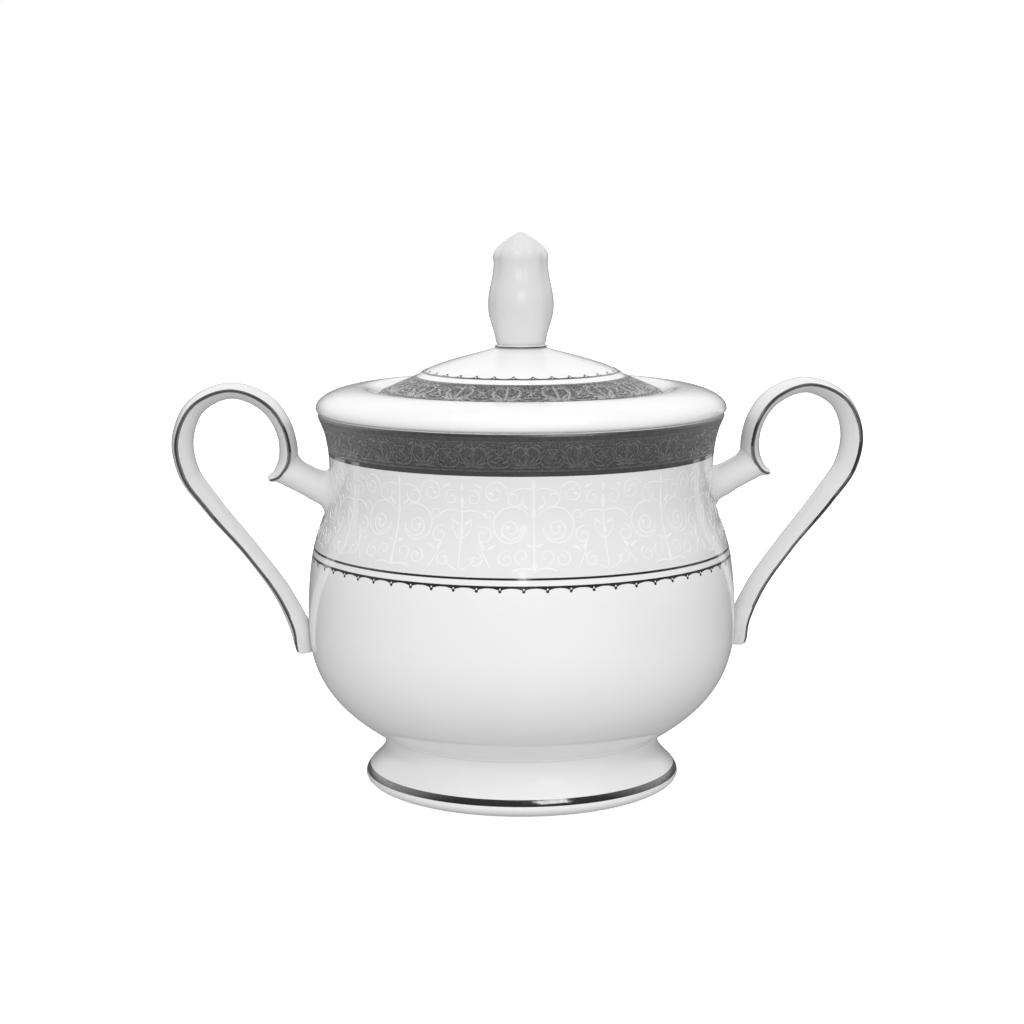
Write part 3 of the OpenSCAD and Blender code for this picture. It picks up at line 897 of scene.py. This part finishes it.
lamp("key", (-0.1, -0.9, 0.32), (0, 0, 0.03), (0.8, 0.5), 3.4)
lamp("overhead", (0, 0.45, 1.3), (0, 0, 0.08), (1.2, 1.2), 4.2)
lamp("front_strip", (-0.084, -1.197, 0.42), (0, 0, 0.06), (0.09, 0.25), 0.12, glossy=True)
lamp("right_softbox", (0.307, -0.706, 0.95), (0, 0, 0.03), (0.4, 0.35), 1.0, glossy=True)


class Studio:
    """Surroundings: white to the camera, an even pale room for soft light, and for
    reflections a room that is dark in front and pale at the back and overhead."""

    def __init__(self):
        self.world = bpy.data.worlds.new("studio")
        bpy.context.scene.world = self.world
        self.world.use_nodes = True
        self.nodes = self.world.node_tree.nodes
        self.links = self.world.node_tree.links
        axes = self.nodes.new("ShaderNodeSeparateXYZ")
        place = self.nodes.new("ShaderNodeTexCoord").outputs["Generated"]
        self.links.new(place, axes.inputs[0])
        self.axes = axes.outputs

    def ramp(self, axis, stops):
        """Grey tones along an axis, from -1 to 1."""
        scale = self.nodes.new("ShaderNodeMapRange")
        scale.inputs["From Min"].default_value = -1
        self.links.new(self.axes[axis], scale.inputs["Value"])
        node = self.nodes.new("ShaderNodeValToRGB")
        colors = node.color_ramp.elements
        for k, (at, value) in enumerate(stops):
            element = colors[k] if k < 2 else colors.new(0.5 * (at + 1))
            element.position = 0.5 * (at + 1)
            element.color = grey(value)
        self.links.new(scale.outputs["Result"], node.inputs["Fac"])
        return node.outputs["Color"]

    def mixed(self, share, first, second):
        """The first colour where share is 0, and the second where it is 1."""
        node = self.nodes.new("ShaderNodeMix")
        node.data_type = "RGBA"
        self.links.new(share, node.inputs["Factor"])
        self.links.new(first, node.inputs["A"])
        self.links.new(second, node.inputs["B"])
        return node.outputs["Result"]

    def backdrop(self, color):
        """A background of one colour, or of a socket's colours."""
        node = self.nodes.new("ShaderNodeBackground")
        if isinstance(color, tuple):
            node.inputs["Color"].default_value = color
        else:
            self.links.new(color, node.inputs["Color"])
        return node.outputs[0]

    def either(self, share, first, second):
        """The first background where share is 0, and the second where it is 1."""
        node = self.nodes.new("ShaderNodeMixShader")
        self.links.new(share, node.inputs["Fac"])
        self.links.new(first, node.inputs[1])
        self.links.new(second, node.inputs[2])
        return node.outputs[0]


def surroundings():
    """Tones are given from straight down (-1) over the horizon (0) to straight up (1)."""
    room = Studio()
    front = room.ramp("Z", [(-1, 0.25), (1, 0.7), (-0.3, 0.20), (0, 0.10), (0.3, 0.08), (0.9, 0.1)])
    back = room.ramp("Z", [(-1, 0.4), (1, 0.5), (-0.35, 0.35), (-0.14, 0.16), (0.04, 0.16),
                           (0.28, 0.85), (0.6, 0.9), (0.8, 0.45)])
    glossy = room.mixed(room.ramp("Y", [(-0.3, 0), (0.7, 1)]), front, back)
    even = room.ramp("Z", [(-1, 0.42), (0, 0.60), (1, 0.80)])
    path = room.nodes.new("ShaderNodeLightPath").outputs
    light = room.either(path["Is Glossy Ray"], room.backdrop(even), room.backdrop(glossy))
    shown = room.either(path["Is Camera Ray"], light, room.backdrop(grey(1)))
    room.links.new(shown, room.nodes["World Output"].inputs["Surface"])


surroundings()
bpy.context.scene.view_settings.view_transform = "Standard"
